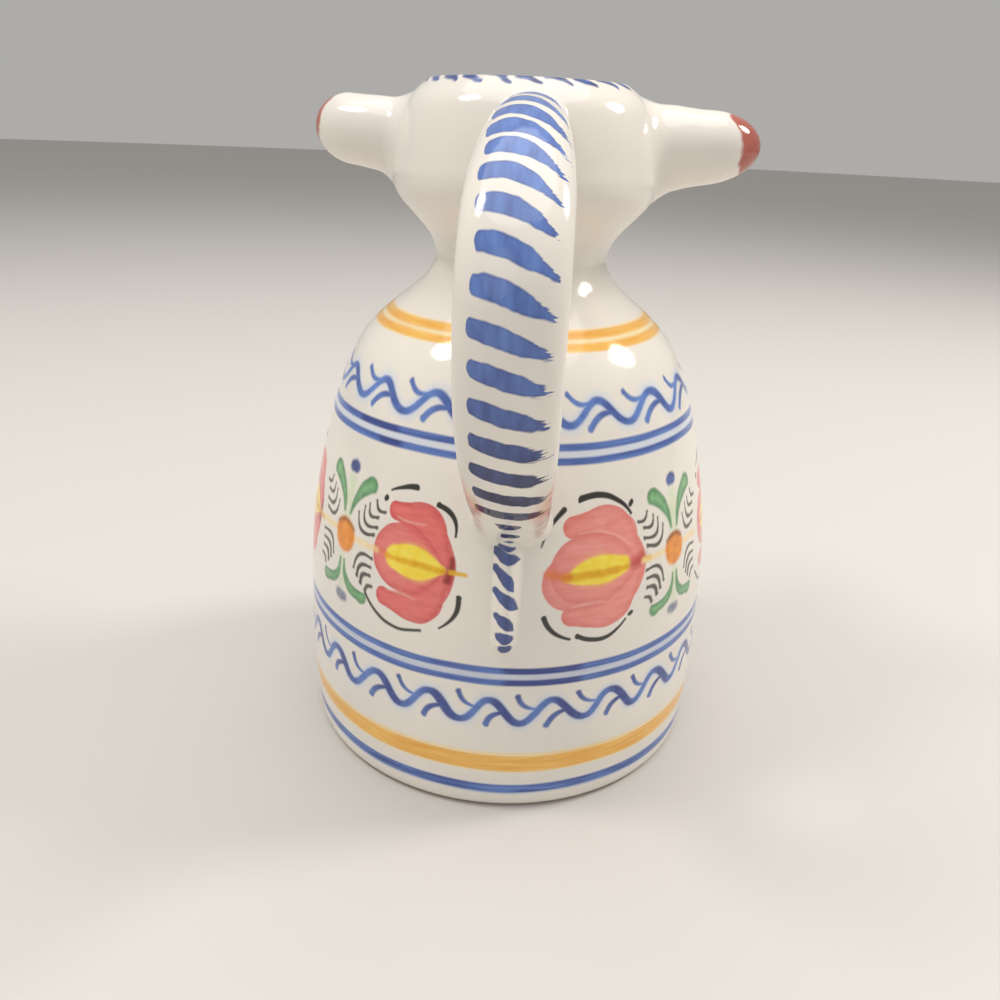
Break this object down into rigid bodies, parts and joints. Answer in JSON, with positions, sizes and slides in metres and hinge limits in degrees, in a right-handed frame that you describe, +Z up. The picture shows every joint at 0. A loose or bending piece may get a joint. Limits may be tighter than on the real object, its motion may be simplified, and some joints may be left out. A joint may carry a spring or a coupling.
{
  "type": "creamer",
  "caption": "Small glazed ceramic creamer with a bell-shaped body, a bull's-head top with horns and a muzzle spout, and a strap handle that runs on into a tail.",
  "frame": {"origin": "middle of the flat base, on the body's axis, where the creamer stands on the table", "axes": "+Z up along the body's axis, -Y toward the handle, +Y toward the muzzle, +X toward the right horn seen from behind"},
  "size_m": [0.0756, 0.0974, 0.1139],
  "materials": {
    "white_glaze": "glossy tin glaze with hand-painted colours",
    "bare_clay": "matt unglazed earthenware"
  },
  "bodies": {
    "root": {"base_disc": "bare_clay", "body_wall": "white_glaze", "head_bowl": "white_glaze", "muzzle_spout": "white_glaze", "left_horn": "white_glaze", "right_horn": "white_glaze", "handle_strap": "white_glaze", "tail_strip": "white_glaze"}
  },
  "joints": []
}
